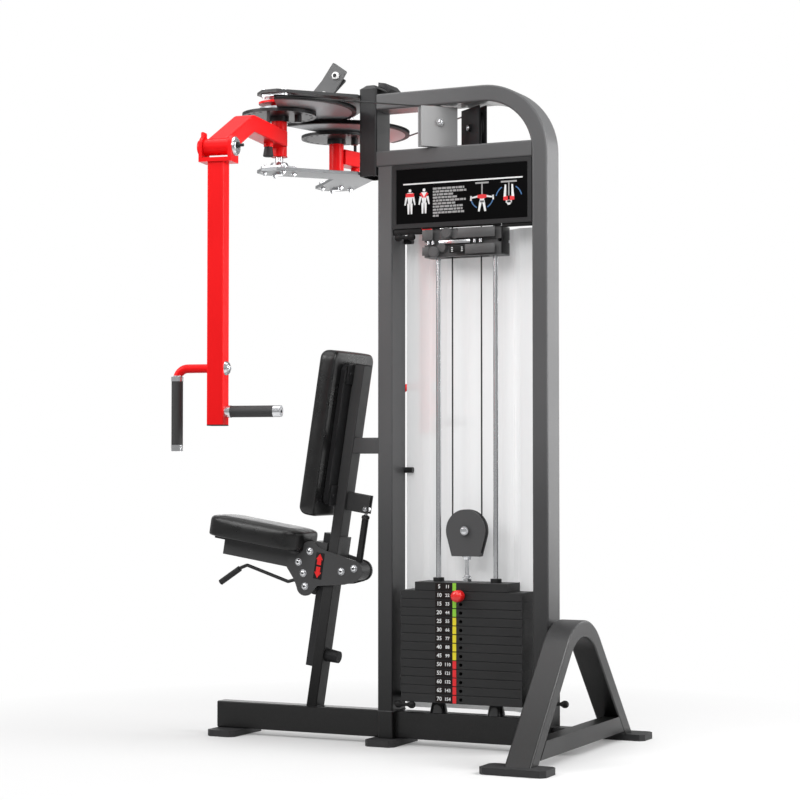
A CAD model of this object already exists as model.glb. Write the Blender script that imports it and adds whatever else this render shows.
# %% [markdown]
# A chest-fly machine, dressed for its picture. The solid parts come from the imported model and
# keep their shapes. This lesson lights them, gives each its finish, and adds what a solid model
# leaves out: soft pads, labels, screws, welds, end caps and the running cable.
# Everything is in metres. +Z is up, +X points from the seat to the weight tower.

# %% Load the model
import bpy
import bmesh
from math import acos, atan2, cos, degrees, hypot, pi, radians, sin
from mathutils import Matrix, Vector


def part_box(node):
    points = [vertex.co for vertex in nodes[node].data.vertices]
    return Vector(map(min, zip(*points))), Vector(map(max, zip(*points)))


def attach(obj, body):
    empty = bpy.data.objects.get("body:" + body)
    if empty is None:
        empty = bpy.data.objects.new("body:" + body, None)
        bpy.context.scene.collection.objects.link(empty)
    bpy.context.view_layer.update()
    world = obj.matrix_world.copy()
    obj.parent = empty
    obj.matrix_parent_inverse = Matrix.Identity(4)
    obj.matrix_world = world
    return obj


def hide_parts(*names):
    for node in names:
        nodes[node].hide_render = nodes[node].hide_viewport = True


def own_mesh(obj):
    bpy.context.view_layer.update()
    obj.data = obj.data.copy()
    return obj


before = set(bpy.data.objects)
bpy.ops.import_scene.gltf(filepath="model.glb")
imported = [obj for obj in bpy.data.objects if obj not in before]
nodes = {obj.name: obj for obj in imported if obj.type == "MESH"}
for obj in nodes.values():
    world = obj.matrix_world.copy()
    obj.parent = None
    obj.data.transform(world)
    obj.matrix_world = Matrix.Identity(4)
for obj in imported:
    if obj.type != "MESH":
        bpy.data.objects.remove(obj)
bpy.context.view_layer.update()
scene = bpy.context.scene

# %% [markdown]
# A long lens from a standing distance keeps the uprights parallel. The camera stands low, near
# the middle of the machine's height, and looks slightly up, so both ends of the tower show.

# %% Camera
camera_data = bpy.data.cameras.new("camera")
camera_data.sensor_width = 36.0
camera_data.lens = 90.86
camera = bpy.data.objects.new("camera", camera_data)
camera.location = (2.741, -5.659, 0.850)
camera.rotation_euler = (radians(91.95), 0.0, radians(25.61))
scene.collection.objects.link(camera)
scene.camera = camera
scene.view_settings.view_transform = "Standard"
print("lens", camera_data.lens)

# %% [markdown]
# Light, floor and finishes are all node trees. These helpers start a material, add a node with its
# settings and link sockets, so that each tree below reads as a short list.

# %% Node helpers
WHITE = (1.0, 1.0, 1.0, 1.0)


def new_material(name):
    """A material with its node tree and its Principled shader."""
    made = bpy.data.materials.new(name)
    made.use_nodes = True
    return made, made.node_tree, made.node_tree.nodes["Principled BSDF"]


def node(group, kind, **values):
    """A node with its plain settings and its numbered inputs (in_0, in_1) set."""
    made = group.nodes.new(kind)
    for key, value in values.items():
        if key.startswith("in_"):
            made.inputs[int(key[3:])].default_value = value
        else:
            setattr(made, key, value)
    return made


def wire(group, *pairs):
    """Link sockets given as (node, socket, node, socket), from and to."""
    for source, source_socket, target, target_socket in pairs:
        group.links.new(source.outputs[source_socket], target.inputs[target_socket])


print("node helpers ready")

# %% [markdown]
# Studio light is mostly soft: a dim even surround, a large lamp over the machine, two in front for
# the faces we see, one behind the rear post, and two low ones behind for the edges. The surround
# shows white only to the camera and through clear panels.

# %% World and lamps
world = bpy.data.worlds.new("studio")
scene.world = world
world.use_nodes = True
tree = world.node_tree
tree.nodes.clear()
path = node(tree, "ShaderNodeLightPath")
either = node(tree, "ShaderNodeMath", operation="MAXIMUM")
soft = node(tree, "ShaderNodeBackground", in_0=WHITE, in_1=0.42)
white = node(tree, "ShaderNodeBackground", in_0=WHITE, in_1=1.0)
mix = node(tree, "ShaderNodeMixShader")
out = node(tree, "ShaderNodeOutputWorld")
wire(
    tree,
    (path, "Is Camera Ray", either, 0),
    (path, "Is Transmission Ray", either, 1),
    (either, 0, mix, 0),
    (soft, 0, mix, 1),
    (white, 0, mix, 2),
    (mix, 0, out, "Surface"),
)


def soft_lamp(name, place, aim, size, power):
    """An area lamp that the camera doesn't see, at a place and turned to a point."""
    lamp = bpy.data.lights.new(name, "AREA")
    lamp.shape = "RECTANGLE"
    lamp.size, lamp.size_y = size
    lamp.energy = power
    holder = bpy.data.objects.new(name, lamp)
    holder.location = place
    holder.rotation_euler = (Vector(aim) - Vector(place)).to_track_quat("-Z", "Y").to_euler()
    holder.visible_camera = False
    scene.collection.objects.link(holder)


soft_lamp("top_lamp", (-0.4, -0.6, 4.2), (0.0, 0.0, 1.4), (3.0, 3.0), 75.0)
soft_lamp("left_lamp", (-2.6, -2.6, 3.0), (-0.2, 0.0, 1.9), (2.0, 1.8), 78.0)
soft_lamp("front_lamp", (0.9, -3.6, 3.1), (0.0, 0.0, 2.0), (2.0, 1.6), 58.0)
soft_lamp("rear_lamp", (2.5, 0.3, 2.0), (0.5, 0.0, 1.3), (1.2, 2.0), 85.0)
soft_lamp("low_back_lamp", (-2.4, 3.2, 1.2), (-0.4, 0.0, 0.6), (2.6, 1.3), 17.0)
soft_lamp("side_back_lamp", (1.9, 3.6, 1.5), (0.5, 0.0, 1.2), (1.4, 2.6), 24.0)

# %% [markdown]
# The floor is pale and matt. It is a stage piece: it catches the soft shadow under the feet,
# throws less light back on the machine than it shows, and fades to white for the camera.

# %% Floor
floor_mesh = bpy.data.meshes.new("floor")
floor = bpy.data.objects.new("floor", floor_mesh)
scene.collection.objects.link(floor)
form = bmesh.new()
bmesh.ops.create_grid(form, x_segments=2, y_segments=2, size=30.0)
form.to_mesh(floor_mesh)
form.free()
floor_paint, tree, shader = new_material("studio_floor")
shader.inputs["Roughness"].default_value = 0.75
floor_shown, floor_bounced = (0.66, 0.66, 0.66, 1.0), (0.30, 0.30, 0.30, 1.0)
bounce = node(tree, "ShaderNodeMix", data_type="RGBA", in_6=floor_shown, in_7=floor_bounced)
glow = node(tree, "ShaderNodeEmission", in_0=WHITE)
where = node(tree, "ShaderNodeTexCoord")
reach = node(tree, "ShaderNodeVectorMath", operation="LENGTH")
fade = node(tree, "ShaderNodeMapRange", in_1=0.8, in_2=1.9, in_3=0.12, in_4=1.0)
path = node(tree, "ShaderNodeLightPath")
seen = node(tree, "ShaderNodeMath", operation="MAXIMUM")
camera_only = node(tree, "ShaderNodeMath", operation="MULTIPLY")
blend = node(tree, "ShaderNodeMixShader")
wire(
    tree,
    (path, "Is Diffuse Ray", bounce, 0),
    (bounce, 2, shader, "Base Color"),
    (where, "Object", reach, 0),
    (reach, "Value", fade, 0),
    (path, "Is Camera Ray", seen, 0),
    (path, "Is Transmission Ray", seen, 1),
    (fade, 0, camera_only, 0),
    (seen, 0, camera_only, 1),
    (camera_only, 0, blend, 0),
    (shader, 0, blend, 1),
    (glow, 0, blend, 2),
    (blend, 0, tree.nodes["Material Output"], "Surface"),
)
floor_mesh.materials.append(floor_paint)
print("floor ready")

# %% [markdown]
# Finishes share a few surface effects, so each effect is one node group with named sockets.
# `paint_skin` is sprayed enamel: a slow drift of tone, fine specks of dust, a darker tone near the
# ground and the faint orange peel that breaks up its reflections. `grain_skin` is for cast,
# moulded and rubber parts.

# %% Skin group maker
SKIN_OUT = [("Color", "c"), ("Roughness", "f"), ("Normal", "v")]


def new_group(name, inputs, outputs):
    """An empty shader node group with named sockets, and its two end nodes."""
    group = bpy.data.node_groups.new(name, "ShaderNodeTree")
    kinds = {"c": "NodeSocketColor", "f": "NodeSocketFloat", "v": "NodeSocketVector"}
    for label, kind, value in inputs:
        socket = group.interface.new_socket(name=label, in_out="INPUT", socket_type=kinds[kind])
        socket.default_value = value
    for label, kind in outputs:
        group.interface.new_socket(name=label, in_out="OUTPUT", socket_type=kinds[kind])
    return group, group.nodes.new("NodeGroupInput"), group.nodes.new("NodeGroupOutput")


# %% Paint skin
paint_skin, start, end = new_group(
    "paint_skin",
    [
        ("Color", "c", (0.1, 0.1, 0.1, 1)), ("Roughness", "f", 0.35), ("Peel", "f", 0.25), ("Dust", "f", 0.2),
        ("Ground", "f", 0.0),
    ],
    SKIN_OUT,
)
where = node(paint_skin, "ShaderNodeTexCoord")
drift = node(paint_skin, "ShaderNodeTexNoise", in_2=2.3, in_3=3.0)
speck = node(paint_skin, "ShaderNodeTexNoise", in_2=420.0, in_3=2.0)
peel = node(paint_skin, "ShaderNodeTexNoise", in_2=900.0, in_3=1.0)
tone = node(paint_skin, "ShaderNodeMapRange", in_1=0.3, in_2=0.7, in_3=0.93, in_4=1.07)
shade = node(paint_skin, "ShaderNodeVectorMath", operation="SCALE")
split = node(paint_skin, "ShaderNodeSeparateXYZ")
low = node(paint_skin, "ShaderNodeMapRange", in_1=0.08, in_2=0.95, in_3=1.0, in_4=0.0)
held = node(paint_skin, "ShaderNodeMath", operation="MULTIPLY")
dim = node(paint_skin, "ShaderNodeMath", operation="SUBTRACT", in_0=1.0)
dimmed = node(paint_skin, "ShaderNodeMath", operation="MULTIPLY")
dust_on = node(paint_skin, "ShaderNodeMapRange", in_1=0.56, in_2=0.78, in_3=0.0, in_4=1.0)
dust_share = node(paint_skin, "ShaderNodeMath", operation="MULTIPLY")
dusty = node(paint_skin, "ShaderNodeMix", data_type="RGBA", in_7=(0.42, 0.41, 0.40, 1.0))
rough_shift = node(paint_skin, "ShaderNodeMapRange", in_1=0.25, in_2=0.75, in_3=-0.05, in_4=0.07)
rough_sum = node(paint_skin, "ShaderNodeMath", operation="ADD")
bump = node(paint_skin, "ShaderNodeBump", in_1=0.0004)
wire(
    paint_skin,
    (where, "Object", drift, "Vector"),
    (where, "Object", speck, "Vector"),
    (where, "Object", peel, "Vector"),
    (drift, 0, tone, 0),
    (start, "Color", shade, 0),
    (where, "Object", split, 0),
    (split, "Z", low, 0),
    (low, 0, held, 0),
    (start, "Ground", held, 1),
    (held, 0, dim, 1),
    (tone, 0, dimmed, 0),
    (dim, 0, dimmed, 1),
    (dimmed, 0, shade, "Scale"),
    (speck, 0, dust_on, 0),
    (dust_on, 0, dust_share, 0),
    (start, "Dust", dust_share, 1),
    (dust_share, 0, dusty, 0),
    (shade, 0, dusty, 6),
    (dusty, 2, end, "Color"),
    (drift, 0, rough_shift, 0),
    (rough_shift, 0, rough_sum, 0),
    (start, "Roughness", rough_sum, 1),
    (rough_sum, 0, end, "Roughness"),
    (peel, 0, bump, "Height"),
    (start, "Peel", bump, "Strength"),
    (bump, 0, end, "Normal"),
)
print("paint skin", len(paint_skin.nodes), "nodes")

# %% [markdown]
# The grain comes from small soft cells, with a slow cloud over its tone and its gloss.

# %% Grain skin
grain_skin, start, end = new_group(
    "grain_skin",
    [
        ("Color", "c", (0.03, 0.03, 0.03, 1)), ("Roughness", "f", 0.6), ("Scale", "f", 260.0),
        ("Depth", "f", 0.4),
    ],
    SKIN_OUT,
)
where = node(grain_skin, "ShaderNodeTexCoord")
cells = node(grain_skin, "ShaderNodeTexVoronoi", feature="SMOOTH_F1")
cells.inputs["Smoothness"].default_value = 0.6
cloud = node(grain_skin, "ShaderNodeTexNoise", in_2=6.0, in_3=4.0)
tone = node(grain_skin, "ShaderNodeMapRange", in_1=0.3, in_2=0.7, in_3=0.82, in_4=1.2)
shade = node(grain_skin, "ShaderNodeVectorMath", operation="SCALE")
rough_shift = node(grain_skin, "ShaderNodeMapRange", in_1=0.25, in_2=0.75, in_3=-0.06, in_4=0.08)
rough_sum = node(grain_skin, "ShaderNodeMath", operation="ADD")
bump = node(grain_skin, "ShaderNodeBump", in_1=0.0006)
wire(
    grain_skin,
    (where, "Object", cells, "Vector"),
    (start, "Scale", cells, "Scale"),
    (where, "Object", cloud, "Vector"),
    (cloud, 0, tone, 0),
    (start, "Color", shade, 0),
    (tone, 0, shade, "Scale"),
    (shade, 0, end, "Color"),
    (cloud, 0, rough_shift, 0),
    (rough_shift, 0, rough_sum, 0),
    (start, "Roughness", rough_sum, 1),
    (rough_sum, 0, end, "Roughness"),
    (cells, 0, bump, "Height"),
    (start, "Depth", bump, "Strength"),
    (bump, 0, end, "Normal"),
)
print("groups", [g.name for g in bpy.data.node_groups])

# %% [markdown]
# A finish is one material with its own Principled shader and one of the groups in front of it.
# The frame is dark grey enamel, the arms are signal red, and the bright parts are turned steel.

# %% Plain finishes
def add_skin(tree, skin, color, roughness, values):
    """A skin group placed in a material, with its sockets set."""
    made = tree.nodes.new("ShaderNodeGroup")
    made.node_tree = skin
    made.inputs["Color"].default_value = (*color, 1.0)
    made.inputs["Roughness"].default_value = roughness
    for key, value in values.items():
        made.inputs[key].default_value = value
    return made


def finish(name, color, roughness, skin=paint_skin, metallic=0.0, coat=0.0, shine=0.5, **skin_values):
    """A material whose colour, roughness and normal come from a skin group."""
    made, tree, shader = new_material(name)
    shader.inputs["Metallic"].default_value = metallic
    shader.inputs["Coat Weight"].default_value = coat
    shader.inputs["Specular IOR Level"].default_value = shine
    shader.inputs["Coat Roughness"].default_value = 0.12
    surface = add_skin(tree, skin, color, roughness, skin_values)
    wire(
        tree,
        (surface, "Color", shader, "Base Color"),
        (surface, "Roughness", shader, "Roughness"),
        (surface, "Normal", shader, "Normal"),
    )
    return made


ARM_RED = (0.86, 0.008, 0.01)
STEEL_TONE = (0.72, 0.73, 0.75)
frame_paint = finish(
    "frame_enamel", (0.090, 0.090, 0.092), 0.34, coat=0.05, shine=0.32, Peel=0.3, Dust=0.02, Ground=0.95
)
housing_grey = finish("housing_grey", (0.36, 0.36, 0.362), 0.40, shine=0.4, Peel=0.3, Dust=0.03)
board_frame = finish("board_frame", (0.022, 0.022, 0.023), 0.42, shine=0.22, Peel=0.3, Dust=0.0)
bracket_grey = finish("bracket_grey", (0.085, 0.085, 0.086), 0.40, shine=0.35, Peel=0.3, Dust=0.03)
plate_enamel = finish("plate_enamel", (0.045, 0.045, 0.046), 0.38, shine=0.3, Peel=0.3, Dust=0.02)
matt_black = finish("matt_black", (0.006, 0.006, 0.0062), 0.5, shine=0.2, Peel=0.2, Dust=0.0)
arm_paint = finish("arm_enamel", ARM_RED, 0.34, shine=0.14, Peel=0.25, Dust=0.0)
black_paint = finish("black_enamel", (0.018, 0.018, 0.019), 0.38, shine=0.28, Peel=0.3, Dust=0.02)
steel = finish("turned_steel", STEEL_TONE, 0.20, metallic=1.0, Peel=0.02, Dust=0.0)
bearing_zinc = finish("bearing_zinc", (0.62, 0.63, 0.65), 0.34, metallic=1.0, Peel=0.35, Dust=0.1)
plate_zinc = finish("plate_silver", (0.30, 0.31, 0.32), 0.42, metallic=0.6, Peel=0.3, Dust=0.1)
weight_black = finish(
    "weight_black", (0.015, 0.015, 0.0155), 0.46, grain_skin, shine=0.35, Scale=700.0, Depth=0.25
)
rubber = finish("foot_rubber", (0.016, 0.016, 0.017), 0.62, grain_skin, Scale=500.0, Depth=0.35)
grip_rubber = finish("grip_rubber", (0.026, 0.026, 0.027), 0.55, grain_skin, Scale=900.0, Depth=0.5)
bumper_gloss = finish(
    "bumper_gloss", (0.010, 0.010, 0.0105), 0.14, grain_skin, coat=1.0, Scale=300.0, Depth=0.02
)
nylon = finish("pulley_nylon", (0.02, 0.02, 0.021), 0.40, grain_skin, Scale=500.0, Depth=0.15)
pin_red = finish("pin_red", (0.80, 0.008, 0.008), 0.28, coat=0.5, Peel=0.1, Dust=0.0)
cable_black = finish("cable_jacket", (0.02, 0.02, 0.02), 0.32, grain_skin, Scale=900.0, Depth=0.1)
print("finishes", len(bpy.data.materials))

# %% [markdown]
# The frosted shroud is a thin clouded sheet. It is partly clear, so a hint of the far arm shows, and
# a weak glow stands for the light that comes through it. Its clouds are drawn out upright.

# %% Frosted panel
frosted, tree, shader = new_material("frosted_panel")
shader.inputs["Base Color"].default_value = (0.93, 0.935, 0.94, 1.0)
shader.inputs["Emission Color"].default_value = WHITE
shader.inputs["Emission Strength"].default_value = 0.10
where = node(tree, "ShaderNodeTexCoord")
stretch = node(tree, "ShaderNodeVectorMath", operation="MULTIPLY", in_1=(1.0, 1.0, 0.03))
cloud = node(tree, "ShaderNodeTexNoise", in_2=16.0, in_3=2.0)
rough = node(tree, "ShaderNodeMapRange", in_1=0.3, in_2=0.7, in_3=0.24, in_4=0.32)
haze = node(tree, "ShaderNodeMapRange", in_1=0.3, in_2=0.7, in_3=0.70, in_4=0.80)
wire(
    tree,
    (where, "Object", stretch, 0),
    (stretch, 0, cloud, "Vector"),
    (cloud, 0, rough, 0),
    (rough, 0, shader, "Roughness"),
    (cloud, 0, haze, 0),
    (haze, 0, shader, "Alpha"),
)
print("frosted panel ready")

# %% [markdown]
# Two-tone parts, such as a handle of red tube with bright ends, are one solid in the model. A
# mask made from the place on the part picks the finish, so no mesh is changed.

# %% Two-tone finish
def two_tone(name, first, second, mask):
    """A finish that turns from the first colour set to the second where the mask builder says."""
    made, tree, shader = new_material(name)
    shader.inputs["Specular IOR Level"].default_value = 0.14
    where = node(tree, "ShaderNodeTexCoord")
    share = mask(tree, where)
    skins = [
        add_skin(tree, skin, color, roughness, values)
        for color, roughness, _, skin, values in (first, second)
    ]
    color_mix = node(tree, "ShaderNodeMix", data_type="RGBA")
    rough_mix = node(tree, "ShaderNodeMix", data_type="FLOAT")
    metal_mix = node(tree, "ShaderNodeMix", data_type="FLOAT", in_2=first[2], in_3=second[2])
    wire(
        tree,
        (share, 0, color_mix, 0),
        (share, 0, rough_mix, 0),
        (share, 0, metal_mix, 0),
        (skins[0], "Color", color_mix, 6),
        (skins[1], "Color", color_mix, 7),
        (skins[0], "Roughness", rough_mix, 2),
        (skins[1], "Roughness", rough_mix, 3),
        (color_mix, 2, shader, "Base Color"),
        (rough_mix, 0, shader, "Roughness"),
        (metal_mix, 0, shader, "Metallic"),
        (skins[0], "Normal", shader, "Normal"),
    )
    return made


def limit_mask(tree, source, socket, operation, limit):
    """1 where a value is over a limit (GREATER_THAN) or under it (LESS_THAN)."""
    test = node(tree, "ShaderNodeMath", operation=operation, in_1=limit)
    tree.links.new(source.outputs[socket], test.inputs[0])
    return test


def above(tree, source, socket, limit):
    """1 where a value is over a limit."""
    return limit_mask(tree, source, socket, "GREATER_THAN", limit)


def below(tree, source, socket, limit):
    """1 where a value is under a limit."""
    return limit_mask(tree, source, socket, "LESS_THAN", limit)


def combine(tree, operation, first, second):
    """Two masks or values joined by one operation, such as MAXIMUM or MULTIPLY."""
    both = node(tree, "ShaderNodeMath", operation=operation)
    wire(tree, (first, 0, both, 0), (second, 0, both, 1))
    return both


def axes_of(tree, where):
    """The place on the part, split into X, Y and Z."""
    split = node(tree, "ShaderNodeSeparateXYZ")
    wire(tree, (where, "Object", split, 0))
    return split


def along(tree, where, direction, origin):
    """Distance along a direction from a point."""
    shift = node(tree, "ShaderNodeVectorMath", operation="SUBTRACT", in_1=origin)
    dot = node(tree, "ShaderNodeVectorMath", operation="DOT_PRODUCT", in_1=direction)
    wire(tree, (where, "Object", shift, 0), (shift, 0, dot, 0))
    return dot


def radius_from(tree, where, center):
    """Level distance from an upright axis."""
    shift = node(tree, "ShaderNodeVectorMath", operation="SUBTRACT", in_1=(center[0], center[1], 0.0))
    flat = node(tree, "ShaderNodeVectorMath", operation="MULTIPLY", in_1=(1.0, 1.0, 0.0))
    length = node(tree, "ShaderNodeVectorMath", operation="LENGTH")
    wire(tree, (where, "Object", shift, 0), (shift, 0, flat, 0), (flat, 0, length, 0))
    return length


# Each colour set: colour, roughness, metal share, skin group and the skin's own values.
RED = (ARM_RED, 0.34, 0.0, paint_skin, {"Peel": 0.25, "Dust": 0.0})
BRIGHT = (STEEL_TONE, 0.20, 1.0, paint_skin, {"Peel": 0.1, "Dust": 0.0})
GREY = ((0.088, 0.088, 0.090), 0.34, 0.0, paint_skin, {"Peel": 0.3, "Dust": 0.05})
BLACK = ((0.016, 0.016, 0.017), 0.50, 0.0, grain_skin, {"Scale": 600.0, "Depth": 0.3})
POST_GREY = ((0.068, 0.068, 0.069), 0.38, 0.0, paint_skin, {"Peel": 0.3, "Dust": 0.03, "Ground": 0.95})
SLIDE_GREY = ((0.066, 0.066, 0.067), 0.36, 0.0, paint_skin, {"Peel": 0.3, "Dust": 0.03})
SILVER = ((0.34, 0.35, 0.36), 0.42, 0.7, paint_skin, {"Peel": 0.3, "Dust": 0.08})
print("two-tone helpers ready")

# %% [markdown]
# The machine's own directions help to place everything: each arm hangs ten degrees behind square
# to the frame, and the seat post leans back nine degrees.

# %% Machine directions
SIDES = {"near": -1.0, "far": 1.0}
HUB = Vector((-0.295, 0.193, 0.0))
ARM_REACH = 0.530
HINGE_Z = 1.767
ARM_TURN = radians(10.0)
TILT = radians(9.0)
POST_FOOT = Vector((-0.268, 0.0, 0.104))
POST_UP = Vector((sin(TILT), 0.0, cos(TILT)))
POST_BACK = Vector((cos(TILT), 0.0, -sin(TILT)))
SPRING_BACK = 0.082


def arm_dirs(side):
    """Outward and sideways directions of an arm: side is -1 near, 1 far."""
    out_dir = Vector((sin(ARM_TURN), side * cos(ARM_TURN), 0.0))
    across = Vector((cos(ARM_TURN), -side * sin(ARM_TURN), 0.0))
    return out_dir, across


def arm_at(side, reach, across, z):
    """Point of an arm from its hub: outward, sideways and height."""
    out_dir, side_dir = arm_dirs(side)
    point = Vector((HUB.x, side * HUB.y, 0.0)) + out_dir * reach + side_dir * across
    return Vector((point.x, point.y, z))


def post_at(back, up, y=0.0):
    """Point by its distance behind the seat post's middle and along the post."""
    return POST_FOOT + POST_BACK * back + POST_UP * up + Vector((0.0, y, 0.0))


print("seat post top", post_at(0.0, 1.0845))

# %% [markdown]
# The masks of the two-tone parts follow the machine: a height, a distance from an axis or the
# line of the seat post parts one finish from the other.

# %% Masks along the machine
def handle_mask(side):
    """Bright ring, caps and side bar; the bent tube above stays red."""
    def build(tree, where):
        low = below(tree, axes_of(tree, where), "Z", 1.1155)
        across = along(tree, where, tuple(arm_dirs(side)[1]), tuple(arm_at(side, ARM_REACH, 0.0, 0.0)))
        return combine(tree, "MAXIMUM", low, above(tree, across, "Value", 0.0245))
    return build


def cam_mask(side):
    """Black grooved rim round a bright web."""
    def build(tree, where):
        return above(tree, radius_from(tree, where, (HUB.x, side * HUB.y)), "Value", 0.2255)
    return build


def stop_mask(tree, where):
    """Rubber stop behind the post's foot."""
    back = along(tree, where, tuple(POST_BACK), tuple(POST_FOOT))
    up = along(tree, where, tuple(POST_UP), tuple(POST_FOOT))
    return combine(tree, "MULTIPLY", below(tree, up, "Value", 0.22), above(tree, back, "Value", 0.0178))


def roller_mask(tree, where):
    """Black roller between the carriage plates."""
    roller_r, half_wide = 0.0305, 0.0310
    squares = []
    for way in (POST_BACK, POST_UP):
        offset = along(tree, where, tuple(way), tuple(post_at(SPRING_BACK, 0.445)))
        square = node(tree, "ShaderNodeMath", operation="MULTIPLY")
        wire(tree, (offset, "Value", square, 0), (offset, "Value", square, 1))
        squares.append(square)
    inside = below(tree, combine(tree, "ADD", *squares), 0, roller_r ** 2)
    reach = node(tree, "ShaderNodeMath", operation="ABSOLUTE")
    wire(tree, (axes_of(tree, where), "Y", reach, 0))
    return combine(tree, "MULTIPLY", inside, below(tree, reach, 0, half_wide))


def level_mask(low_end, high_end):
    """Bright metal below one height and above another."""
    def build(tree, where):
        split = axes_of(tree, where)
        return combine(tree, "MAXIMUM", below(tree, split, "Z", low_end), above(tree, split, "Z", high_end))
    return build


print("near arm directions", arm_dirs(-1.0))

# %% [markdown]
# Every solid of the model now gets its finish. The list goes by part, because two parts of one
# material slot, such as a foot and a grip, still differ in grain.

# %% Dress the solid parts
handle_paint = {k: two_tone(k + "_handle_finish", RED, BRIGHT, handle_mask(s)) for k, s in SIDES.items()}
cam_paint = {k: two_tone(k + "_cam_finish", SILVER, BLACK, cam_mask(s)) for k, s in SIDES.items()}
post_paint = two_tone("post_finish", POST_GREY, BLACK, stop_mask)
slide_paint = two_tone("slide_finish", SLIDE_GREY, BLACK, roller_mask)
hub_paint = two_tone("hub_finish", RED, BRIGHT, level_mask(1.8165, 1.9862))
NO_TOP = 9.0
lift_paint = two_tone("lift_housing_finish", GREY, BRIGHT, level_mask(0.5828, NO_TOP))

dress = {}
for name in (
    "front_rail rear_rail front_post arch_tube placard_beam rear_stabiliser stabiliser_crossbar "
    "post_brace guide_bracket"
).split():
    dress[name] = frame_paint
for name in (
    "head_tube head_cap post_strip far_pulley_housing spring_body seat_lever guard_clips back_board"
).split():
    dress[name] = black_paint
for name in "front_feet rear_feet near_pull_pin far_pull_pin".split():
    dress[name] = rubber
for key in SIDES:
    dress[key + "_hub"] = hub_paint
    for name in ("upper_arm", "lower_arm"):
        dress[f"{key}_{name}"] = arm_paint
    dress[key + "_selector_disc"] = black_paint
    dress[key + "_grips"] = grip_rubber
    dress[key + "_handle"] = handle_paint[key]
    dress[key + "_cam"] = cam_paint[key]
    dress[key + "_pulley"] = nylon
for name in "guide_rods selector_stem spring_rod".split():
    dress[name] = steel
for name in "resting_plates top_plate head_plate".split():
    dress[name] = weight_black
dress.update({
    "upper_bearings": bearing_zinc,
    "lower_bearings": bearing_zinc,
    "lower_hub_plate": plate_zinc,
    "seat_post": post_paint,
    "seat_frame": slide_paint,
    "shroud": frosted,
    "upper_hub_plate": plate_enamel,
    "bumpers": bumper_gloss,
    "near_pulley_housing": housing_grey,
    "placard": board_frame,
    "rod_bracket": bracket_grey,
    "lift_pulley": nylon,
    "lift_housing": lift_paint,
    "cable": cable_black,
    "weight_pin": pin_red,
    "back_pad": black_paint,
    "seat_pad": black_paint,
})
for name, solid in nodes.items():
    solid.data.materials.clear()
    solid.data.materials.append(dress[name])
print("dressed", len(dress), "not dressed", sorted(set(nodes) - set(dress)))

# %% [markdown]
# New pieces start as a bmesh. One helper closes a bmesh into an object, gives it a finish and
# lets it ride on a body of the machine. The others add turned, boxed and cut shapes to a bmesh.

# %% Piece helpers
def evaluated_mesh(holder):
    """A plain mesh of an object as its modifiers or its curve make it."""
    bpy.context.view_layer.update()
    return bpy.data.meshes.new_from_object(holder.evaluated_get(bpy.context.evaluated_depsgraph_get()))


def to_piece(form, name, material, body, smooth=True):
    """Turn a bmesh into a named object that rides on a body."""
    bmesh.ops.remove_doubles(form, verts=form.verts, dist=0.000005)
    bmesh.ops.recalc_face_normals(form, faces=form.faces)
    mesh = bpy.data.meshes.new(name)
    form.to_mesh(mesh)
    form.free()
    mesh.materials.append(material)
    piece = bpy.data.objects.new(name, mesh)
    scene.collection.objects.link(piece)
    if smooth:
        mesh.shade_smooth()
        mesh.set_sharp_from_angle(angle=radians(35.0))
    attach(piece, body)
    return piece


def aim(center, axis, up=None):
    """Matrix that puts local +Z along an axis at a centre, with local +Y near a chosen up."""
    z_dir = Vector(axis).normalized()
    up_dir = Vector(up) if up else (Vector((0, 0, 1)) if abs(z_dir.z) < 0.9 else Vector((0, 1, 0)))
    x_dir = up_dir.cross(z_dir).normalized()
    y_dir = z_dir.cross(x_dir)
    turn = Matrix((x_dir, y_dir, z_dir)).transposed().to_4x4()
    return Matrix.Translation(Vector(center)) @ turn


def near_face(x, y, z):
    """Matrix of a face that looks to the near side: an outline's x and y run along X and Z."""
    return aim((x, y, z), (0, -1, 0))


def connected(verts):
    """Every vertex that edges join to the given ones."""
    seen, todo = set(verts), list(verts)
    while todo:
        for edge in todo.pop().link_edges:
            for vert in edge.verts:
                if vert not in seen:
                    seen.add(vert)
                    todo.append(vert)
    return list(seen)


def soften(form, edges, offset, segments=2):
    """Round some edges and give back the new faces."""
    return bmesh.ops.bevel(
        form, geom=edges, offset=offset, offset_type="OFFSET", segments=segments, profile=0.5,
        affect="EDGES", material=-1, clamp_overlap=True,
    )["faces"]


def lathe(form, outline, matrix, steps=32):
    """Spin an outline of (radius, height) points about local Z and place it."""
    points = [form.verts.new((r, 0.0, h)) for r, h in outline]
    edges = [form.edges.new(pair) for pair in zip(points, points[1:])]
    bmesh.ops.spin(
        form, geom=points + edges, axis=(0, 0, 1), cent=(0, 0, 0), angle=2 * pi, steps=steps, use_merge=True
    )
    bmesh.ops.transform(form, matrix=matrix, verts=connected(points))


def slab(form, size, matrix, edge=0.0, segments=2):
    """A box of a size, centred, with softened edges, and placed."""
    verts = bmesh.ops.create_cube(form, size=1.0)["verts"]
    bmesh.ops.scale(form, vec=size, verts=verts)
    if edge > 0:
        faces = soften(form, list({e for v in verts for e in v.link_edges}), edge, segments)
        verts = list({v for f in faces for v in f.verts} | {v for v in verts if v.is_valid})
    bmesh.ops.transform(form, matrix=matrix, verts=verts)


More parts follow.
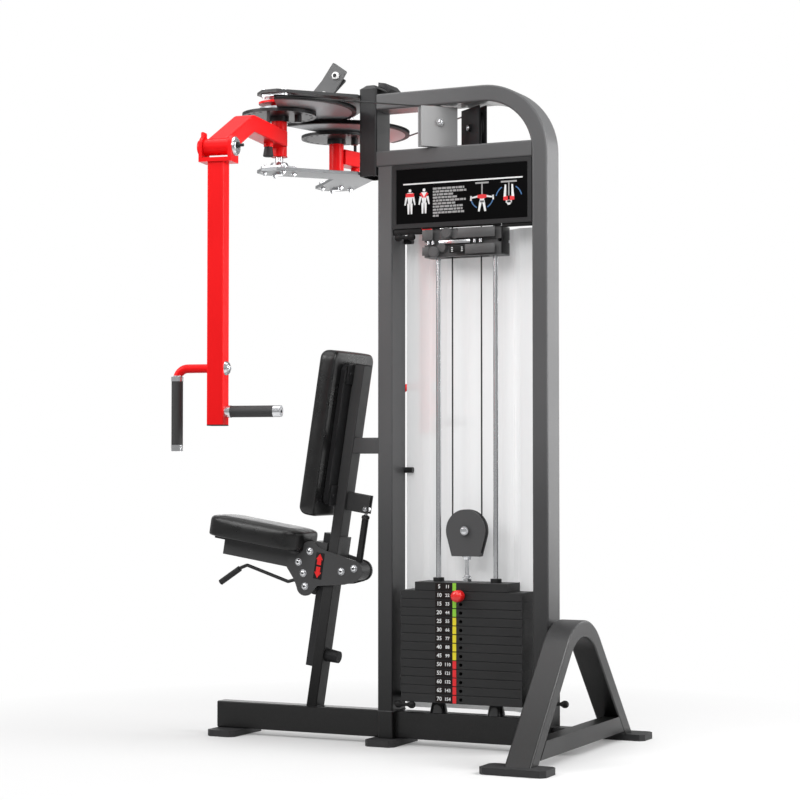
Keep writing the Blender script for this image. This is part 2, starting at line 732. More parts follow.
def prism(form, outline, depth, matrix, edge=0.0):
    """A flat outline of (x, y) points, given a depth along local Z, and placed."""
    verts = [form.verts.new((x, y, 0.0)) for x, y in outline]
    made = bmesh.ops.extrude_face_region(form, geom=[form.faces.new(verts)])
    top = [v for v in made["geom"] if isinstance(v, bmesh.types.BMVert)]
    bmesh.ops.translate(form, vec=(0, 0, depth), verts=top)
    every = verts + top
    bmesh.ops.recalc_face_normals(form, faces=list({f for v in every for f in v.link_faces}))
    if edge > 0:
        rim = [e for e in {e for v in top for e in v.link_edges} if all(w in top for w in e.verts)]
        faces = soften(form, rim, edge)
        every = connected({v for f in faces for v in f.verts} | {v for v in every if v.is_valid})
    bmesh.ops.transform(form, matrix=matrix, verts=every)


def dome_bolt(form, center, axis, radius, height=None):
    """Button-head screw with a small socket, on a washer, as one turned outline."""
    high = height or radius * 0.62
    head = [(0.0, 0.55), (0.36, 0.55), (0.38, 1.0), (0.62, 0.95), (0.88, 0.66), (1.0, 0.25)]
    washer = [(1.0, 0.0008), (1.22, 0.0008), (1.24, 0.0), (0.0, 0.0)]
    outline = [(radius * r, high * h) for r, h in head] + [(radius * r, h) for r, h in washer]
    lathe(form, outline, aim(center, axis), steps=20)


def hex_bolt(form, center, axis, radius, height):
    """Hexagon head with a chamfered crown, on a washer."""
    matrix = aim(center, axis)
    outline = [(radius * cos(radians(60 * k)), radius * sin(radians(60 * k))) for k in range(6)]
    prism(form, outline, height, matrix, edge=radius * 0.12)
    lathe(form, [(0.0, 0.0012), (radius * 1.3, 0.0012), (radius * 1.32, 0.0), (0.0, 0.0)], matrix, steps=24)


def weld_ring(form, points, radius=0.0022):
    """A row of overlapping small beads along closed points."""
    count = len(points)
    for index in range(count):
        start, stop = Vector(points[index]), Vector(points[(index + 1) % count])
        steps = max(1, int((stop - start).length / (radius * 1.5)))
        for step in range(steps):
            spot = start.lerp(stop, step / steps)
            bmesh.ops.create_icosphere(form, subdivisions=1, radius=radius, matrix=Matrix.Translation(spot))


print("helpers ready")

# %% [markdown]
# The pads are foam under stretched vinyl. Each starts as a soft-edged block, is remeshed evenly,
# and is blown up by a short cloth run while its board side and a line round its top edge are
# held.

# %% Vinyl
vinyl, tree, shader = new_material("pad_vinyl")
shader.inputs["Specular IOR Level"].default_value = 0.42
where = node(tree, "ShaderNodeTexCoord")
leather = node(tree, "ShaderNodeTexVoronoi", in_2=900.0, feature="DISTANCE_TO_EDGE")
pebble = node(tree, "ShaderNodeMapRange", in_1=0.0, in_2=0.22, in_3=0.0, in_4=1.0)
creases = node(tree, "ShaderNodeTexNoise", in_2=14.0, in_3=6.0)
crease_shape = node(tree, "ShaderNodeMapRange", in_1=0.35, in_2=0.65, in_3=0.0, in_4=1.0)
rough = node(tree, "ShaderNodeMapRange", in_1=0.3, in_2=0.7, in_3=0.24, in_4=0.34)
dark_vinyl, light_vinyl = (0.005, 0.005, 0.0052, 1.0), (0.010, 0.010, 0.0102, 1.0)
tone = node(tree, "ShaderNodeMix", data_type="RGBA", in_6=dark_vinyl, in_7=light_vinyl)
fine = node(tree, "ShaderNodeBump", in_0=0.15, in_1=0.0003)
broad = node(tree, "ShaderNodeBump", in_0=0.12, in_1=0.002)
wire(
    tree,
    (where, "Object", leather, "Vector"),
    (where, "Object", creases, "Vector"),
    (leather, "Distance", pebble, 0),
    (creases, 0, crease_shape, 0),
    (creases, 0, rough, 0),
    (creases, 0, tone, 0),
    (tone, 2, shader, "Base Color"),
    (rough, 0, shader, "Roughness"),
    (crease_shape, 0, broad, "Height"),
    (pebble, 0, fine, "Height"),
    (broad, 0, fine, "Normal"),
    (fine, 0, shader, "Normal"),
)
print("vinyl ready")


# %% [markdown]
# The pad maker works in the pad's own axes, with Z out of the board. No point of the cover may
# move further than a cap, so the pad keeps its size.

# %% Pad maker
def seam_line(half_x, half_y, corner, count=12):
    """Closed rounded rectangle, as points."""
    points = []
    for way_x, way_y, first in ((1, 1, 0), (-1, 1, 90), (-1, -1, 180), (1, -1, 270)):
        mid_x, mid_y = way_x * (half_x - corner), way_y * (half_y - corner)
        for k in range(count + 1):
            turn = radians(first + 90.0 * k / count)
            points.append((mid_x + corner * cos(turn), mid_y + corner * sin(turn)))
    return points


def rounded_block(size, corner, top_edge, low_edge):
    """Bmesh of a block with round plan corners and rounded top and bottom edges, centred."""
    form = bmesh.new()
    half_z = size[2] / 2
    for x, y in seam_line(size[0] / 2, size[1] / 2, corner, 8):
        form.verts.new((x, y, -half_z))
    bmesh.ops.remove_doubles(form, verts=form.verts, dist=0.00001)
    made = bmesh.ops.extrude_face_region(form, geom=[form.faces.new(list(form.verts))])
    top = [v for v in made["geom"] if isinstance(v, bmesh.types.BMVert)]
    bmesh.ops.translate(form, vec=(0, 0, size[2]), verts=top)
    bmesh.ops.recalc_face_normals(form, faces=form.faces)
    for sign, offset in ((1, top_edge), (-1, low_edge)):
        rim = [e for e in form.edges if all(v.co.z * sign > half_z - 1e-5 for v in e.verts)]
        soften(form, rim, offset, segments=5)
    return form


def hold_cover(work, half, top_edge, low_edge):
    """Pin the board side, and nearly pin a line round the top edge."""
    pins = work.vertex_groups.new(name="held")
    for vert in work.data.vertices:
        x, y, z = vert.co
        out = hypot(max(abs(x) - (half.x - top_edge), 0.0), max(abs(y) - (half.y - top_edge), 0.0))
        rise = max(z - (half.z - top_edge), 0.0)
        held = 1.0 if z < -half.z + low_edge * 0.8 else 0.0
        if rise > 0 and out > 0 and abs(atan2(rise, out) - radians(45)) < radians(11):
            held = 0.85
        if held:
            pins.add([vert.index], held, "REPLACE")


def cloth_swell(work):
    """Where the cover's points end after a short run under pressure."""
    cloth = work.modifiers.new("cover", "CLOTH")
    cloth.settings.quality = 5
    cloth.settings.mass = 0.3
    cloth.settings.tension_stiffness = 28.0
    cloth.settings.compression_stiffness = 28.0
    cloth.settings.shear_stiffness = 12.0
    cloth.settings.bending_stiffness = 0.8
    cloth.settings.vertex_group_mass = "held"
    cloth.settings.use_pressure = True
    cloth.settings.uniform_pressure_force = 4.0
    cloth.settings.effector_weights.gravity = 0.0
    frames = 20
    cloth.point_cache.frame_start = 1
    cloth.point_cache.frame_end = frames
    for tick in range(1, frames + 1):
        scene.frame_set(tick)
    posed = work.evaluated_get(bpy.context.evaluated_depsgraph_get())
    moved = [v.co.copy() for v in posed.to_mesh().vertices]
    posed.to_mesh_clear()
    work.modifiers.clear()
    scene.frame_set(1)
    return moved


def stuffed(name, size, corner, matrix, cap, body, replaced, top_edge, low_edge):
    """A soft pad in local axes: local Z points out of its board."""
    form = rounded_block(size, corner, top_edge, low_edge)
    mesh = bpy.data.meshes.new(name + "_start")
    form.to_mesh(mesh)
    form.free()
    work = bpy.data.objects.new(name + "_work", mesh)
    scene.collection.objects.link(work)
    remesh = work.modifiers.new("even", "REMESH")
    remesh.mode = "VOXEL"
    remesh.voxel_size = 0.005
    even = evaluated_mesh(work)
    work.modifiers.clear()
    work.data = even
    half = Vector(size) / 2
    start_points = [v.co.copy() for v in even.vertices]
    hold_cover(work, half, top_edge, low_edge)
    moved = cloth_swell(work)
    most = 0.0
    for vert, first, last in zip(even.vertices, start_points, moved):
        step = last - first
        most = max(most, step.length)
        if step.length > cap:
            step = step * (cap / step.length)
        vert.co = matrix @ (first + step)
    work.vertex_groups.clear()
    even.materials.clear()
    even.materials.append(vinyl)
    even.shade_smooth()
    smooth = work.modifiers.new("round", "SUBSURF")
    smooth.levels = 1
    smooth.render_levels = 1
    work.name = name
    even.name = name
    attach(work, body)
    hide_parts(replaced)
    print(name, "points", len(even.vertices), "largest swell mm", round(most * 1000, 1))


print("pad maker ready")

# %% [markdown]
# The seat lies square to the slanted post, and the back pad lies along it.

# %% Seat and back pads
PAD_SEAT = (0.344, 0.178, 0.067)
PAD_BACK = (0.522, 0.280, 0.062)
seat_middle = post_at(-0.0994 - PAD_SEAT[0] / 2, 0.4727 + PAD_SEAT[2] / 2)
seat_turn = aim(seat_middle, POST_UP, up=(0, 1, 0))
back_middle = post_at(-0.0317 - PAD_BACK[2] / 2, 0.598 + PAD_BACK[0] / 2)
back_axes = Matrix((POST_UP, Vector((0, -1, 0)), -POST_BACK)).transposed()
back_turn = Matrix.Translation(back_middle) @ back_axes.to_4x4()


def shrunk(size, by=0.003):
    """A pad's size less the room that its swell takes."""
    return tuple(length - by for length in size)


SWELL_CAP, LOW_EDGE = 0.004, 0.006
stuffed(
    "seat_cushion", shrunk(PAD_SEAT), 0.052, seat_turn, SWELL_CAP, "seat_carriage", "seat_pad",
    top_edge=0.014, low_edge=LOW_EDGE,
)
stuffed(
    "back_cushion", shrunk(PAD_BACK), 0.030, back_turn, SWELL_CAP, "frame", "back_pad",
    top_edge=0.024, low_edge=LOW_EDGE,
)
print("pads ready")

# %% [markdown]
# The steel cable runs from each cam over its pulley, down the tower, round the pulley on the
# stack and up again. A rigid model holds it as one still piece, so here it is cut at the places
# where the machine moves: the parts on the cams turn with them, the turn under the lifting pulley
# rises with the stack, and the upright runs shorten as they do on the real machine. The length
# that a cam winds on as it turns isn't added, so its groove is bare there at full swing.

# %% Running cable
CABLE_R, CABLE_SIDES = 0.0025, 14
CABLE_ON_CAM = 0.235
PULLEY_R = 0.0485
STACK_X = 0.256
LIFT_Z = 0.661
CAM_Z = {"near": 1.962, "far": 1.948}
ANCHOR_TURN = 63.0
FALL_GAP = 0.0004


def straight_cable(form, start, stop):
    """A straight length between two points."""
    start, stop = Vector(start), Vector(stop)
    bmesh.ops.create_cone(
        form, cap_ends=True, segments=CABLE_SIDES, radius1=CABLE_R, radius2=CABLE_R,
        depth=(stop - start).length, matrix=aim((start + stop) / 2, stop - start),
    )


def turned_cable(form, center, axis, start, angle):
    """A length bent round an axis, from a point and through an angle."""
    center, axis, start = Vector(center), Vector(axis).normalized(), Vector(start)
    place = aim(start, axis.cross(start - center))
    ring = bmesh.ops.create_circle(form, cap_ends=True, segments=CABLE_SIDES, radius=CABLE_R, matrix=place)
    faces = list({f for v in ring["verts"] for f in v.link_faces})
    edges = list({e for v in ring["verts"] for e in v.link_edges})
    steps = max(4, int(abs(angle) / radians(5)))
    bmesh.ops.spin(form, geom=ring["verts"] + edges + faces, axis=axis, cent=center, angle=angle, steps=steps)


def on_circle(center, radius, angle):
    """Point of a level circle."""
    return center + Vector((cos(angle), sin(angle), 0.0)) * radius


cable_facts, wheel_axes = {}, {}
for key, side in SIDES.items():
    drop_x = STACK_X + side * PULLEY_R
    hub = Vector((HUB.x, side * HUB.y, CAM_Z[key]))
    run = hypot(drop_x - hub.x, hub.y)
    toward = atan2(-side * HUB.y, drop_x - HUB.x)
    touch = toward + side * acos(CABLE_ON_CAM / run)
    heading = Vector((cos(touch - side * pi / 2), sin(touch - side * pi / 2), 0.0))
    anchor = radians(side * ANCHOR_TURN)
    top = Vector((drop_x, 0.0, CAM_Z[key])) - heading * PULLEY_R
    wheel_middle = top - Vector((0.0, 0.0, PULLEY_R))
    wheel_axes[key] = (wheel_middle, Vector((heading.y, -heading.x, 0.0)))
    form = bmesh.new()
    turned_cable(form, hub, (0, 0, 1), on_circle(hub, CABLE_ON_CAM, anchor), touch - anchor)
    to_piece(form, key + "_cam_cable", cable_black, key + "_swing")
    form = bmesh.new()
    straight_cable(form, on_circle(hub, CABLE_ON_CAM, touch), top)
    turned_cable(form, wheel_middle, Vector((0, 0, 1)).cross(heading), top, pi / 2)
    over = to_piece(form, key + "_over_cable", cable_black, "frame")
    form = bmesh.new()
    straight_cable(form, (drop_x, 0.0, LIFT_Z + FALL_GAP), (drop_x, 0.0, wheel_middle.z))
    fall = to_piece(form, key + "_fall_cable", cable_black, "frame")
    length = wheel_middle.z - LIFT_Z
    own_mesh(fall)
    cable_facts[key] = (round(degrees(touch), 2), round(length, 4))
    if key == "near":
        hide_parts("cable")
form = bmesh.new()
turned_cable(form, (STACK_X, 0.0, LIFT_Z), (0, 1, 0), (STACK_X + PULLEY_R, 0.0, LIFT_Z), pi)
to_piece(form, "under_cable", cable_black, "lift")
print("touch angle and fall length", cable_facts)

# %% [markdown]
# The instruction board under the top beam is a black printed card in a dark frame. The print is
# laid on as thin shapes: a rule, two small figures with the worked muscles in red, rows of plain
# bars in place of words, and two exercise signs with blue arcs for the path of the arms. Red lies
# a little in front, so that it never shares a face with the white under it.

# %% Card printing helpers
card_black = finish("card_black", (0.003, 0.003, 0.0032), 0.45, shine=0.02, Peel=0.1, Dust=0.0)
ink_white = finish("ink_white", (0.78, 0.79, 0.79), 0.45, Peel=0.1, Dust=0.02)
ink_grey = finish("ink_grey", (0.34, 0.34, 0.34), 0.45, Peel=0.1, Dust=0.02)
ink_red = finish("ink_red", (0.75, 0.015, 0.02), 0.45, Peel=0.1, Dust=0.0)
ink_blue = finish("ink_blue", (0.05, 0.16, 0.36), 0.45, Peel=0.1, Dust=0.0)
ink_yellow = finish("ink_yellow", (0.78, 0.66, 0.02), 0.45, Peel=0.1, Dust=0.0)
ink_green = finish("ink_green", (0.26, 0.60, 0.04), 0.45, Peel=0.1, Dust=0.0)
board_low, board_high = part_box("placard")
CARD_LEFT, CARD_TOP = board_low[0], board_high[2]
CARD_Y = -0.0472
RED_FACE = CARD_Y - 0.0003
INK = 0.0004


def tapered_bar(form, start, stop, width, end_width=None, y=CARD_Y, depth=INK):
    """A flat bar on an upright face, between two (x, z) points, with its own width at each end."""
    (x0, z0), (x1, z1) = start, stop
    end_width = width if end_width is None else end_width
    length = hypot(x1 - x0, z1 - z0)
    side_x, side_z = -(z1 - z0) / length / 2, (x1 - x0) / length / 2
    outline = [
        (x0 + side_x * width, z0 + side_z * width), (x0 - side_x * width, z0 - side_z * width),
        (x1 - side_x * end_width, z1 - side_z * end_width),
        (x1 + side_x * end_width, z1 + side_z * end_width),
    ]
    prism(form, outline, depth, near_face(0.0, y, 0.0))


def spot(form, x, z, radius):
    """A flat round dot on an upright face."""
    outline = [(x + radius * cos(radians(30 * k)), z + radius * sin(radians(30 * k))) for k in range(12)]
    prism(form, outline, INK, near_face(0.0, CARD_Y, 0.0))


def arc_mark(form, x, z, radius, first, last, width):
    """A curved mark made of short bars, angles in degrees."""
    count, overlap = 7, 1.08
    for k in range(count):
        turns = (radians(first + (last - first) * (k + part) / count) for part in (0, overlap))
        start, stop = ((x + radius * cos(turn), z + radius * sin(turn)) for turn in turns)
        tapered_bar(form, start, stop, width)


def on_card(right, down):
    """Place on the card in metres from its left edge and its top."""
    return CARD_LEFT + right, CARD_TOP - down


print("card helpers ready")

# %% [markdown]
# The card is drawn from its top left corner: figures on the left, bars for words in the middle and
# two signs on the right.

# %% Card with its signs
CARD_EDGE, CARD_WIDE = 0.0145, 0.4501
low, high = board_low[2] + CARD_EDGE, board_high[2] - CARD_EDGE
left, right = CARD_LEFT + CARD_EDGE, CARD_LEFT + CARD_WIDE
outline = [(left, low), (right, low), (right, high), (left, high)]
form = bmesh.new()
prism(form, outline, INK, near_face(0.0, CARD_Y + INK, 0.0))
to_piece(form, "card_face", card_black, "frame")
white, red, grey, blue = (bmesh.new() for _ in range(4))
tapered_bar(white, on_card(0.037, 0.060), on_card(0.435, 0.060), 0.0042)
FRONT_VIEW, BACK_VIEW = 0.060, 0.108
for middle in (FRONT_VIEW, BACK_VIEW):
    spot(white, *on_card(middle, 0.0805), 0.0050)
    tapered_bar(white, on_card(middle, 0.087), on_card(middle, 0.121), 0.020, 0.012)
    for way in (-1, 1):
        arm = on_card(middle + way * 0.0115, 0.100), on_card(middle + way * 0.017, 0.125)
        leg = on_card(middle + way * 0.0048, 0.120), on_card(middle + way * 0.0052, 0.153)
        tapered_bar(white, *arm, 0.0072, 0.0042)
        tapered_bar(white, *leg, 0.0084, 0.0052)
        if middle == BACK_VIEW:
            shoulder = on_card(middle + way * 0.0120, 0.0900), on_card(middle + way * 0.0020, 0.1040)
            tapered_bar(red, *shoulder, 0.0075, 0.0050, y=RED_FACE)
    if middle == FRONT_VIEW:
        chest = on_card(middle - 0.0140, 0.0945), on_card(middle + 0.0140, 0.0945)
        tapered_bar(red, *chest, 0.0115, y=RED_FACE)
WORDS_LEFT, WORD_SPACE = 0.138, 0.0022
for row, length in enumerate((0.105, 0.112, 0.070, 0.082, 0.112, 0.076, 0.100, 0.104, 0.110, 0.022)):
    down = 0.0785 + row * 0.0093
    start_at, row_end = WORDS_LEFT, WORDS_LEFT + length
    while start_at < row_end - 0.004:
        word = 0.006 + 0.012 * ((row * 7 + int(start_at * 1000)) % 5) / 5
        stop_at = min(start_at + word, row_end)
        tapered_bar(grey, on_card(start_at, down), on_card(stop_at, down), 0.0060)
        start_at = stop_at + WORD_SPACE
x, z = on_card(0.302, 0.060)
tapered_bar(grey, (x - 0.022, z - 0.010), (x + 0.022, z - 0.010), 0.0050)
tapered_bar(grey, (x, z - 0.012), (x, z - 0.047), 0.0040)
for way in (-1, 1):
    tapered_bar(red, (x, z - 0.052), (x + way * 0.015, z - 0.051), 0.014, 0.009, y=RED_FACE)
    tapered_bar(white, (x + way * 0.014, z - 0.051), (x + way * 0.036, z - 0.055), 0.006, 0.004)
    tapered_bar(white, (x + way * 0.036, z - 0.049), (x + way * 0.037, z - 0.063), 0.005)
    tapered_bar(white, (x + way * 0.004, z - 0.064), (x + way * 0.011, z - 0.097), 0.009, 0.006)
    arc_mark(blue, x, z - 0.052, 0.037, 270 + way * 28, 270 + way * 72, 0.0034)
tapered_bar(white, (x, z - 0.056), (x, z - 0.070), 0.015, 0.012)
x, z = on_card(0.390, 0.062)
tapered_bar(grey, (x - 0.026, z - 0.009), (x + 0.026, z - 0.009), 0.0050)
tapered_bar(grey, (x, z - 0.012), (x, z - 0.052), 0.0040)
for way in (-1, 1):
    tapered_bar(white, (x + way * 0.011, z - 0.018), (x + way * 0.013, z - 0.056), 0.005, 0.009)
    tapered_bar(red, (x + way * 0.003, z - 0.060), (x + way * 0.018, z - 0.060), 0.014, 0.010, y=RED_FACE)
    arc_mark(blue, x, z - 0.062, 0.043, 90 - way * 32, 90 - way * 74, 0.0034)
tapered_bar(white, (x - 0.010, z - 0.069), (x + 0.010, z - 0.069), 0.008)
spot(white, x, z - 0.073, 0.007)
prints = {
    "white": (white, ink_white), "red": (red, ink_red), "grey": (grey, ink_grey), "blue": (blue, ink_blue),
}
for label, (form, ink) in prints.items():
    to_piece(form, "card_" + label, ink, "frame", smooth=False)
print("card printed")

# %% [markdown]
# Each weight plate carries a dark sticker with its load in two units and a colour bar that runs
# from green through yellow to red. The figures are text made into mesh before it is placed.

# %% Weight stickers
def figures(form, words, center, height):
    """Plain figures, made into mesh, laid on a plate's near face."""
    data = bpy.data.curves.new("figures", "FONT")
    data.body = words
    data.size = height
    data.align_x = "CENTER"
    data.align_y = "CENTER"
    data.extrude = 0.0002
    data.offset = 0.0003
    data.resolution_u = 2
    holder = bpy.data.objects.new("figures", data)
    scene.collection.objects.link(holder)
    mesh = evaluated_mesh(holder)
    bpy.data.objects.remove(holder)
    mesh.transform(near_face(*center))
    form.from_mesh(mesh)
    bpy.data.meshes.remove(mesh)


sticker_dark = finish("sticker_dark", (0.007, 0.0035, 0.003), 0.45, shine=0.2, Peel=0.1, Dust=0.02)
TINTS = {"green": ink_green, "yellow": ink_yellow, "red": ink_red}
PLATE_FACE = -0.0500
FIGURE_FACE = PLATE_FACE - 0.0007
PLATE_PITCH = 0.0262
STICKER_TALL = 0.0218
RESTING, PLATES = 12, 14
low_plate_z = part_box("resting_plates")[0][2]
for body, rows in (("frame", range(RESTING)), ("lift", range(RESTING, PLATES))):
    base, numbers = bmesh.new(), bmesh.new()
    bars = {tint: bmesh.new() for tint in TINTS}
    for row in rows:
        middle = low_plate_z + row * PLATE_PITCH + 0.013
        tapered_bar(base, (0.1715, middle), (0.2275, middle), STICKER_TALL, y=PLATE_FACE)
        tint = "green" if row > 9 else ("yellow" if row > 4 else "red")
        bar_ends = (0.2292, middle), (0.2412, middle)
        tapered_bar(bars[tint], *bar_ends, STICKER_TALL + 0.0015, y=PLATE_FACE, depth=0.0005)
        load = PLATES - row
        figures(numbers, str(load * 5), (0.185, FIGURE_FACE, middle), 0.0170)
        figures(numbers, str(load * 11), (0.2125, FIGURE_FACE, middle), 0.0140)
    to_piece(base, body + "_stickers", sticker_dark, body, smooth=False)
    to_piece(numbers, body + "_figures", ink_white, body, smooth=False)
    for tint, form in bars.items():
        if form.verts:
            to_piece(form, f"{body}_{tint}_bars", TINTS[tint], body, smooth=False)
        else:
            form.free()
print("stickers on", PLATES, "plates")

# %% [markdown]
# Bright button screws fasten the seat carriage. Each is turned on a lathe outline: washer, low
# dome and a small socket. Between the plates, a red two-way arrow shows that the seat slides.

# %% Seat carriage fittings
CARRIAGE_FACE = 0.0374
BOLT_SPOTS = (
    (-0.076, 0.480), (-0.1112, 0.440), (-0.0889, 0.4081), (-0.0766, 0.3686), (0.0431, 0.4371), (0.085, 0.4539)
)
ARROW_SIDE = [(0.0072, 0.003), (0.0072, 0.0200), (0.0120, 0.0200)]
ARROW = ARROW_SIDE + [(0.0, 0.0385)] + [(-x, y) for x, y in reversed(ARROW_SIDE)]
bolts, insert, arrows = (bmesh.new() for _ in range(3))
for side in SIDES.values():
    for back, up in BOLT_SPOTS:
        dome_bolt(bolts, post_at(back, up, side * CARRIAGE_FACE), (0, side, 0), 0.0098, 0.0068)
    face = aim(post_at(-0.0374, 0.4406, side * CARRIAGE_FACE), (0, side, 0), up=POST_UP)
    slab(insert, (0.0290, 0.0830, 0.0014), face @ Matrix.Translation((0, 0, 0.0006)), edge=0.0006)
    for way in (-1, 1):
        arrow = [(x, way * y) for x, y in ARROW]
        prism(arrows, arrow, 0.0016, face @ Matrix.Translation((0, 0, 0.0012)), edge=0.0004)
to_piece(bolts, "carriage_bolts", steel, "seat_carriage")
to_piece(insert, "slide_insert", matt_black, "seat_carriage")
to_piece(arrows, "slide_arrows", pin_red, "seat_carriage", smooth=False)
print("carriage bolts", 2 * len(BOLT_SPOTS))

# %% [markdown]
# The gas spring ends in an eye on the post, held by a screw from each side. A rubber wiper closes
# its body round the rod.

# %% Spring eye and wiper
form = bmesh.new()
for side in SIDES.values():
    dome_bolt(form, post_at(SPRING_BACK, 0.640, side * 0.0131), (0, side, 0), 0.0062, 0.0045)
to_piece(form, "spring_eye_bolts", steel, "frame")
WIPER = [(0.0, 0.012), (0.007, 0.012), (0.0125, 0.009), (0.013, 0.002), (0.0112, 0.0), (0.0052, 0.0)]
form = bmesh.new()
lathe(form, WIPER, aim(post_at(SPRING_BACK, 0.6092), POST_UP), steps=24)
to_piece(form, "spring_wiper", rubber, "seat_carriage")
print("carriage fitted")

# %% [markdown]
# Behind the back pad, near its top and near its foot, a pair of steel tabs joins the board to the
# post. Each tab has one screw.

# %% Back pad tabs
form, screws = bmesh.new(), bmesh.new()
for up in (0.668, 1.052):
    for side in SIDES.values():
        face = aim(post_at(-0.0150, up, side * 0.051), POST_BACK, up=POST_UP)
        slab(form, (0.040, 0.064, 0.005), face, edge=0.0015)
        dome_bolt(screws, post_at(-0.0125, up, side * 0.054), POST_BACK, 0.0055)
to_piece(form, "back_tabs", black_paint, "frame")
to_piece(screws, "back_tab_screws", black_paint, "frame")
print("back pad tabs set")

# %% [markdown]
# A polished cap with a black bolt closes the +X end of each tilting hinge, and a raised tab on the
# other cheek stops the arm. A plug closes the foot of the down tube, and a screw holds the handle.

# %% Arm fittings
HINGE_CAP = [
    (0.0, 0.0098), (0.0225, 0.0098), (0.0265, 0.0070), (0.0278, 0.0040), (0.0278, 0.0002), (0.0, 0.0002),
]
BOLT_TAIL = [(0.0, 0.012), (0.0045, 0.012), (0.0045, 0.0)]
GRIP_PLUG = [(0.0, 0.0012), (0.0040, 0.0012), (0.0044, 0.0)]
for key, side in SIDES.items():
    out_dir, across_dir = arm_dirs(side)
    caps, bolts, red_bits, black_bits = (bmesh.new() for _ in range(4))
    lathe(caps, HINGE_CAP, aim(arm_at(side, ARM_REACH, 0.0490, HINGE_Z), across_dir), steps=40)
    dome_bolt(caps, arm_at(side, ARM_REACH, 0.0330, 1.135), across_dir, 0.0105, 0.0060)
    hex_bolt(bolts, arm_at(side, ARM_REACH, 0.0588, 1.770), across_dir, 0.0078, 0.0065)
    lathe(bolts, BOLT_TAIL, aim(arm_at(side, ARM_REACH, 0.0640, 1.770), across_dir), steps=16)
    dome_bolt(bolts, arm_at(side, ARM_REACH, -0.0585, HINGE_Z), -across_dir, 0.0085)
    cheek = aim(arm_at(side, ARM_REACH, -0.0440, 1.7925), -across_dir)
    slab(red_bits, (0.030, 0.036, 0.0098), cheek, edge=0.0042, segments=3)
    foot = aim(arm_at(side, ARM_REACH, 0.0, 0.9735), (0, 0, -1), up=out_dir)
    slab(black_bits, (0.0485, 0.0485, 0.0038), foot, edge=0.0012)
    lathe(black_bits, GRIP_PLUG, aim(arm_at(side, ARM_REACH, 0.1910, 1.012), across_dir), steps=16)
    to_piece(caps, key + "_hinge_caps", steel, key + "_hanger")
    to_piece(bolts, key + "_hinge_bolts", black_paint, key + "_hanger")
    to_piece(red_bits, key + "_stop_tab", arm_paint, key + "_hanger")
    to_piece(black_bits, key + "_end_plugs", rubber, key + "_hanger")
print("arms fitted")

# %% [markdown]
# At the hubs every bearing is bolted to its plate: hexagon heads on the bearing's flange and nuts
# on the plate's other face, with the bolt's end below. Six more bolts hold each cam to its arm.

# %% Hub bolts and nuts
BOLT_OFF = 0.0335
HUB_HEADS = ((1.7852, 1, 0.0052), (1.7668, -1, 0.0062), (2.0008, -1, 0.0052), (2.0192, 1, 0.0062))
BOLT_END = [(0.0, 0.0050), (0.0034, 0.0050), (0.0038, 0.0040), (0.0038, 0.0)]
form = bmesh.new()
for side in SIDES.values():
    for way_x, way_y in ((-1, -1), (-1, 1), (1, -1), (1, 1)):
        x, y = HUB.x + way_x * BOLT_OFF, side * HUB.y + way_y * BOLT_OFF
        for z, way, head in HUB_HEADS:
            hex_bolt(form, (x, y, z), (0, 0, way), 0.0072, head)
        lathe(form, BOLT_END, aim((x, y, 1.7615), (0, 0, -1)), steps=12)
to_piece(form, "hub_plate_bolts", steel, "frame")
for key, side in SIDES.items():
    form = bmesh.new()
    under_cam = Vector((HUB.x, side * HUB.y, CAM_Z[key] - 0.0058))
    for k in range(6):
        hex_bolt(form, on_circle(under_cam, 0.044, radians(60 * k + 20)), (0, 0, -1), 0.0058, 0.0040)
    to_piece(form, key + "_cam_bolts", steel, key + "_swing")
print("hub bolts set")

# %% [markdown]
# The guide bracket on the upper plate holds white nylon spacers. Each shows as a white ring round
# a dark screw.

# %% Nylon spacers
nylon_white = finish("nylon_white", (0.80, 0.80, 0.79), 0.42, grain_skin, Scale=500.0, Depth=0.1)
SPACER = [(0.0, 0.0090), (0.0060, 0.0090), (0.0110, 0.0078), (0.0122, 0.0050), (0.0122, 0.0), (0.0, 0.0)]
rings, darks = bmesh.new(), bmesh.new()
for x, z in ((-0.191, 2.094), (-0.233, 2.035)):
    lathe(rings, SPACER, near_face(x, -0.0121, z), steps=28)
    hex_bolt(darks, (x, -0.0210, z), (0, -1, 0), 0.0048, 0.0020)
to_piece(rings, "guide_spacers", nylon_white, "frame")
to_piece(darks, "guide_screws", black_paint, "frame")
print("spacers set")

# %% [markdown]
# A folded strap lies over the place where the head tube meets the arch.

# %% Top cover strap
STRAP = [
    (-0.0270, 2.0545), (-0.0020, 2.0500), (0.0150, 2.0310),
    (0.0090, 2.0175), (-0.0100, 2.0350), (-0.0270, 2.0410),
]
form = bmesh.new()
prism(form, STRAP, 0.0860, near_face(0.0, 0.0430, 0.0), edge=0.002)
to_piece(form, "top_strap", black_paint, "frame")
print("strap over the arch")

# %% [markdown]
# The rod bracket is a stack of small clamped parts: a bright bar and sleeves between two dark
# bars, a black catch with two rows of white ticks, and turned knobs. Above it a dark return closes
# the foot of the board.

